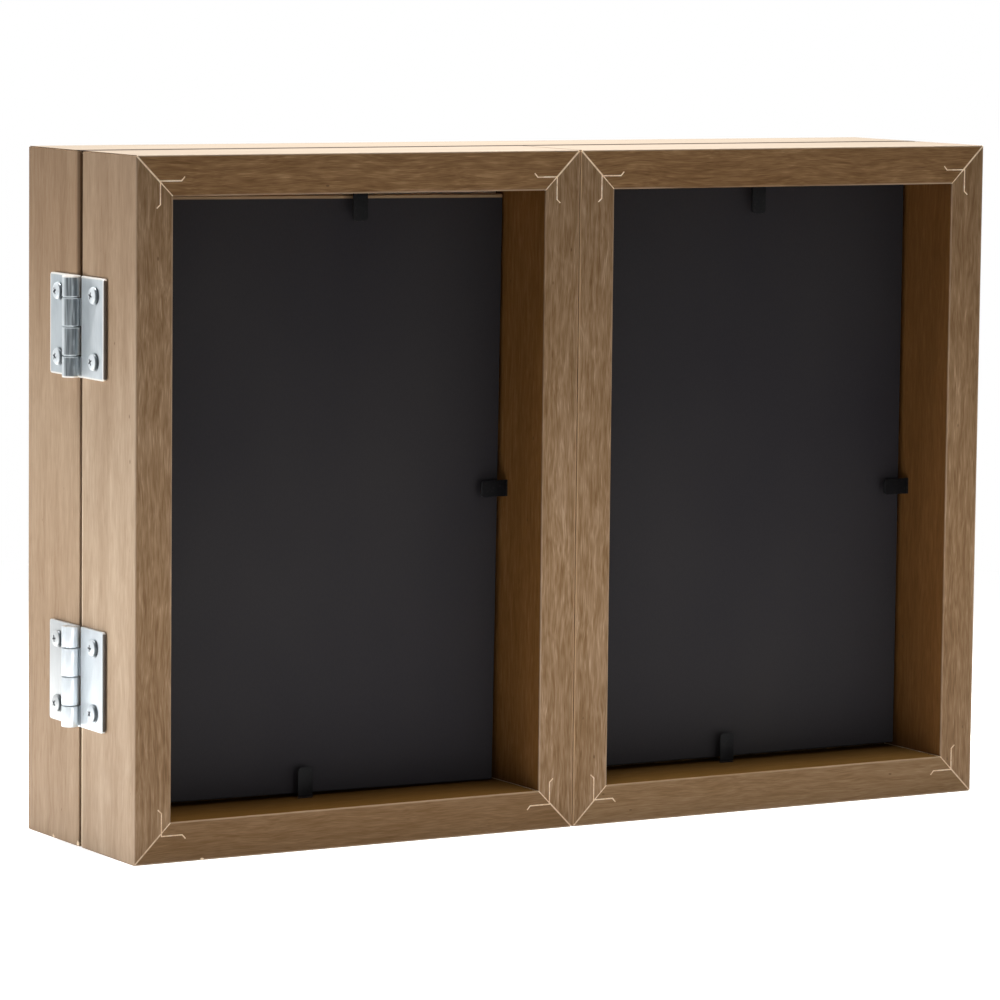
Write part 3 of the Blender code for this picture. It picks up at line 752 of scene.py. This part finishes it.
screwTurn = screw["firstTurn"]
for side in ("left", "right"):
    for level, height in hingeMiddle.items():
        metal = metals[level + "ReflectionZinc"]
        screwMetal = metals["upperScrewReflectionZinc" if level == "upper" else "lowerReflectionZinc"]
        start = side + "_" + level + "_hinge_"
        makePin(start + "roundPin", side, height, start + "pin", metal)
        for kind, leafWay, knuckles, body in (
            ("frame", 1.0, (0, 2), "centre_panel"),
            ("door", -1.0, (1, 3), side + "_door"),
        ):
            makeLeaf(start + kind + "Plate", side, height, leafWay, knuckles, body,
                     start + kind + "_leaf", metal)
            for word, offset in (("upper", screw["fromMiddle"]), ("lower", -screw["fromMiddle"])):
                screwTurn += screw["nextTurn"]
                makeScrew(start + kind + word.capitalize() + "PanHead", side, height, leafWay, offset, body,
                          start + kind + "_" + word + "_screw", screwMetal, screwTurn)
print("hinges done")


# Bend-over clips: black strips out of the walls, their tips lifted a little. Each has a round heel at the
# bend, and lies nearer to the board than to the bend line, so that it clears its wall when it stands up.
clip = {"width": 4.2, "length": 7.3, "tab": 0.5, "thickness": 0.38, "setIn": 0.06, "tipRound": 1.0,
        "tipLift": 0.10, "lastPart": 2.2, "cuts": 5, "depth": 12.7, "root": 1.6, "rootEnd": 0.27,
        "heelShare": 0.48, "edgeRound": 0.07, "sharp": 60.0, "smooth": 40.0}
wallInward = {"top": Vector((0.0, 0.0, -1.0)), "bottom": Vector((0.0, 0.0, 1.0)),
              "left": Vector((1.0, 0.0, 0.0)), "right": Vector((-1.0, 0.0, 0.0))}


def clipSpace(panelName, wall):
    panel = panels[panelName]
    back = Vector((0.0, panel["backSign"], 0.0))
    inward = wallInward[wall]
    low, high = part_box(panelName + "_" + wall + "_clip")
    middle = 0.5 * (low + high)
    bend = middle - inward * 0.5 * abs((high - low).dot(inward)) + inward * 0.5 * clip["tab"] * mm
    bend.y = panel["backSign"] * clip["depth"] * mm
    side = back.cross(inward)
    turn = Matrix((side, back, inward)).transposed()
    return Matrix.Translation(bend) @ turn.to_4x4() @ Matrix.Scale(mm, 4)


def stripOutline(bm, low, high):
    half = 0.5 * clip["width"]
    outline = ((-half, low), (half, low), (half, high), (-half, high))
    bm.faces.new([bm.verts.new((x, 0.0, z)) for x, z in outline])


def thickenStrip(bm):
    bmesh.ops.translate(bm, verts=bm.verts[:], vec=(0.0, -0.5 * clip["thickness"] - clip["setIn"], 0.0))
    extrudeFaces(bm, bm.faces[:], (0.0, clip["thickness"], 0.0))


def roundStrip(bm, segments, panelName, wall):
    bmesh.ops.recalc_face_normals(bm, faces=bm.faces[:])
    rounded(bm, sharpEdges(bm, clip["sharp"]), clip["edgeRound"], segments)
    bm.transform(clipSpace(panelName, wall))


def makeClip(panelName, wall):
    bm = bmesh.new()
    heel = -0.5 * clip["thickness"]
    stripOutline(bm, heel, clip["length"])
    tips = [vertex for vertex in bm.verts if vertex.co.z > 0.0]
    rounded(bm, tips, clip["tipRound"], segments=5, affect="VERTICES")
    start = clip["length"] - clip["lastPart"]
    for step in range(clip["cuts"]):
        cutHeight = start + clip["lastPart"] * step / (clip["cuts"] + 1.0)
        bmesh.ops.bisect_plane(bm, geom=bm.verts[:] + bm.edges[:] + bm.faces[:], dist=1e-5,
                               plane_co=(0.0, 0.0, cutHeight), plane_no=(0.0, 0.0, 1.0))
    thickenStrip(bm)
    heelEdges = [edge for edge in bm.edges if abs(edge.verts[0].co.x - edge.verts[1].co.x) > 1.0
                 and all(vertex.co.z < heel + 0.01 for vertex in edge.verts)]
    rounded(bm, heelEdges, clip["heelShare"] * clip["thickness"], segments=5)
    for vertex in bm.verts:
        if vertex.co.z > start:
            upTip = (vertex.co.z - start) / clip["lastPart"]
            vertex.co.y += clip["tipLift"] * upTip * upTip
    roundStrip(bm, 2, panelName, wall)
    stem = panelName + "_" + wall
    node = stem + "_clip"
    finishPiece(node + "Strip", bm, blackSteel, stem + "_tab", (node,), clip["smooth"])

    # The strip's root, fixed in the wood of the wall
    bm = bmesh.new()
    stripOutline(bm, -clip["root"], -clip["rootEnd"])
    thickenStrip(bm)
    roundStrip(bm, 1, panelName, wall)
    finishPiece(node + "Root", bm, blackSteel, panels[panelName]["body"],
                smoothAngle=clip["smooth"])


for panelName in panels:
    for wall in wallInward:
        makeClip(panelName, wall)
print("clips done")


# Glue lines in the mitres and the V-shaped fasteners pressed into them from the back
seam = {"thickness": 0.26, "sunk": 0.03, "outsideSunk": 0.28, "round": 0.2}
fastener = {"apex": (6.6, 6.5), "leg": 5.6, "hook": 1.4, "hookTurn": 48.0, "strip": 0.30, "deep": 4.0,
            "proud": 0.02}
corners = {"bottomLeft": (1.0, 1.0), "bottomRight": (-1.0, 1.0),
           "topLeft": (1.0, -1.0), "topRight": (-1.0, -1.0)}
apexShift = {  # how far each fastener stands from its usual place, in mm
    "left_door_bottomLeft": (1.0, 0.4), "left_door_bottomRight": (0.3, 0.0),
    "left_door_topLeft": (0.1, -0.1), "left_door_topRight": (0.2, 0.3),
    "right_door_bottomLeft": (-0.3, 0.1), "right_door_bottomRight": (0.0, -0.1),
    "right_door_topLeft": (-0.2, 0.2), "right_door_topRight": (-0.5, 0.0),
}


# Local X and Z run inwards from the panel's outer corner, and Y from the back rim towards the front
def cornerSpace(panelName, corner):
    panel = panels[panelName]
    signX, signZ = corners[corner]
    spot = Vector((panel["left"] if signX > 0.0 else panel["right"], panel["backSign"] * moulding["back"],
                   0.0 if signZ > 0.0 else moulding["height"])) * mm
    turn = Matrix.Diagonal((signX, -panel["backSign"], signZ, 1.0))
    return Matrix.Translation(spot) @ turn @ Matrix.Scale(mm, 4)


def makeSeam(panelName, corner):
    bm = bmesh.new()
    rim, lipEdge = moulding["rim"], moulding["lipEdge"]
    deep, lipBack = moulding["depth"], moulding["depth"] - moulding["lip"]
    sunk = seam["sunk"]
    outside = seam["outsideSunk"]
    outline = ((outside, sunk), (rim - sunk, sunk), (rim - sunk, lipBack + sunk),
               (lipEdge - sunk, lipBack + sunk), (lipEdge - sunk, deep - outside), (outside, deep - outside))
    bm.faces.new([bm.verts.new((reach, depth, reach)) for reach, depth in outline])
    outer = [vertex for vertex in bm.verts if not (abs(vertex.co.x - rim) < 0.1 and vertex.co.y > 1.0)]
    rounded(bm, outer, seam["round"], segments=3, affect="VERTICES")
    half = 0.5 * seam["thickness"] / math.sqrt(2.0)
    bmesh.ops.translate(bm, verts=bm.verts[:], vec=(-half, 0.0, half))
    extrudeFaces(bm, bm.faces[:], (2.0 * half, 0.0, -2.0 * half))
    bm.transform(cornerSpace(panelName, corner))
    finishPiece(panelName + "_" + corner + "_glueLine", bm, filler, panels[panelName]["body"])


def makeFastener(panelName, corner):
    shiftX, shiftZ = apexShift.get(panelName + "_" + corner, (0.0, 0.0))
    apex = Vector((fastener["apex"][0] + shiftX, 0.0, fastener["apex"][1] + shiftZ))
    hookWay = math.radians(fastener["hookTurn"])
    reachAlong = fastener["hook"] * math.cos(hookWay)
    reachOut = fastener["hook"] * math.sin(hookWay)
    legX = apex + Vector((fastener["leg"], 0.0, 0.0))
    legZ = apex + Vector((0.0, 0.0, fastener["leg"]))
    path = [legX + Vector((reachAlong, 0.0, -reachOut)), legX, apex, legZ,
            legZ + Vector((-reachOut, 0.0, reachAlong))]
    bm = bmesh.new()
    points = [bm.verts.new(point + Vector((0.0, -fastener["proud"], 0.0))) for point in path]
    lines = [bm.edges.new(pair) for pair in zip(points[:-1], points[1:])]
    moveNew(bm, bmesh.ops.extrude_edge_only(bm, edges=lines), (0.0, fastener["deep"], 0.0))
    bmesh.ops.recalc_face_normals(bm, faces=bm.faces[:])
    bmesh.ops.solidify(bm, geom=bm.faces[:], thickness=fastener["strip"])
    bm.transform(cornerSpace(panelName, corner))
    finishPiece(panelName + "_" + corner + "_fastener", bm, filler, panels[panelName]["body"])


for panelName in panels:
    for corner in corners:
        makeSeam(panelName, corner)
        makeFastener(panelName, corner)
print("corners done")


# Plain picture sheets between the panes and the boards
sheet = {"front": 7.1, "thickness": 0.3, "sidePlay": 1.25, "openingHeight": 152.5, "round": 0.05,
         "lift": {"centre": 1.25, "left_door": 2.2, "right_door": 1.25}}
for panelName, panel in panels.items():
    bm = bmesh.new()
    width = panel["right"] - panel["left"] - 2.0 * moulding["rim"] - 2.0 * sheet["sidePlay"]
    height = sheet["openingHeight"] - 2.0 * sheet["sidePlay"]
    addBlock(bm, (width, sheet["thickness"], height))
    rounded(bm, bm.edges[:], sheet["round"], segments=1)
    middle = Vector((0.5 * (panel["left"] + panel["right"]),
                     panel["backSign"] * (sheet["front"] + 0.5 * sheet["thickness"]),
                     moulding["rim"] + sheet["lift"][panelName] + 0.5 * height))
    bm.transform(Matrix.Scale(mm, 4) @ Matrix.Translation(middle))
    finishPiece(panelName + "_sheet", bm, plainPaper, panel["body"])
print("sheets done")


# Table top. The camera sees it white, apart from the frame's shadow; its own colour is a pale grey.
stand = {"size": 6.0, "colour": tone(216, 215, 213), "gritColour": tone(202, 201, 199), "gritShare": 0.1,
         "grit": (300.0, 300.0, 300.0), "glow": 0.78, "fade": (0.20, 0.55)}
white = (1.0, 1.0, 1.0, 1.0)


def floorMaterial():
    material, tree, shader = newMaterial("paleTable")
    place = objectPlace(tree)
    tree.nodes.remove(shader)
    grit = product(tree, noise(tree, stretch(tree, place, stand["grit"]), 2.0), stand["gritShare"])
    colour = mixColour(tree, grit, stand["colour"], stand["gritColour"])
    matt = addNode(tree, "ShaderNodeBsdfDiffuse", {"Color": colour}).outputs[0]
    glow = addNode(tree, "ShaderNodeEmission", {"Color": white, "Strength": stand["glow"]}).outputs[0]
    full = addNode(tree, "ShaderNodeEmission", {"Color": white, "Strength": 1.0}).outputs[0]
    lit = addNode(tree, "ShaderNodeAddShader", {0: matt, 1: glow}).outputs[0]
    away = rise(tree, vectorMath(tree, "LENGTH", place, output="Value"), *stand["fade"])
    seen = addNode(tree, "ShaderNodeMixShader", {0: away, 1: lit, 2: full}).outputs[0]
    whole = addNode(tree, "ShaderNodeMixShader", {0: seenDirectly(tree), 1: matt, 2: seen}).outputs[0]
    tree.links.new(whole, tree.nodes["Material Output"].inputs["Surface"])
    return material


bm = bmesh.new()
bmesh.ops.create_grid(bm, x_segments=1, y_segments=1, size=0.5 * stand["size"])
floorMesh = bpy.data.meshes.new("table")
bm.to_mesh(floorMesh)
bm.free()
floorMesh.materials.append(floorMaterial())
table = bpy.data.objects.new("table", floorMesh)
bpy.context.collection.objects.link(table)


# Light: an even surround and three soft lamps, low at the left and in front and high above
surround = {"level": 0.12}
world = bpy.data.worlds.new("surround")
bpy.context.scene.world = world
world.use_nodes = True
tree = world.node_tree
even = tree.nodes["Background"]
even.inputs["Color"].default_value = white
even.inputs["Strength"].default_value = surround["level"]
bright = addNode(tree, "ShaderNodeBackground", {"Color": white, "Strength": 1.0})
whole = addNode(tree, "ShaderNodeMixShader",
                {0: seenDirectly(tree), 1: even.outputs[0], 2: bright.outputs[0]})
tree.links.new(whole.outputs[0], tree.nodes["World Output"].inputs["Surface"])

lamps = {
    "sideKey": {"spot": (-0.51, 0.07, 0.04), "aim": (-0.125, -0.01, 0.05), "size": (0.14, 0.14),
                "power": 0.198, "spread": 62.0, "mirrored": False},
    "frontFill": {"spot": (0.0, -0.60, 0.06), "aim": (0.0, -0.03, 0.055), "size": (0.60, 0.03),
                  "power": 0.05, "spread": 26.0, "mirrored": True},
    "above": {"spot": (0.0, 0.0, 1.3), "aim": (0.0, 0.0, 0.0), "size": (0.40, 0.40),
              "power": 3.3, "spread": 40.0, "mirrored": True},
}
for name, lamp in lamps.items():
    light = bpy.data.lights.new(name, "AREA")
    light.energy = lamp["power"]
    light.shape = "RECTANGLE"
    light.size, light.size_y = lamp["size"]
    light.spread = math.radians(lamp["spread"])
    holder = bpy.data.objects.new(name, light)
    holder.location = lamp["spot"]
    holder.rotation_euler = (Vector(lamp["aim"]) - Vector(lamp["spot"])).to_track_quat("-Z", "Y").to_euler()
    holder.visible_camera = False
    holder.visible_glossy = lamp["mirrored"]
    bpy.context.collection.objects.link(holder)

scene = bpy.context.scene
scene.view_settings.view_transform = "Standard"

# Camera, a long lens from the left, a little above the frame
view = {"spot": (-0.66740, -1.12225, 0.22115), "yaw": 30.56, "down": 6.13, "roll": 0.63, "lens": 182.74,
        "sensor": 36.0, "nearest": 0.01}
cameraData = bpy.data.cameras.new("camera")
cameraData.lens = view["lens"]
cameraData.sensor_width = view["sensor"]
cameraData.clip_start = view["nearest"]
camera = bpy.data.objects.new("camera", cameraData)
turn = Matrix.Rotation(math.radians(-view["yaw"]), 4, "Z")
turn = turn @ Matrix.Rotation(math.radians(90.0 - view["down"]), 4, "X")
turn = turn @ Matrix.Rotation(math.radians(view["roll"]), 4, "Z")
camera.matrix_world = Matrix.Translation(view["spot"]) @ turn
bpy.context.collection.objects.link(camera)
scene.camera = camera
print("light and camera done")
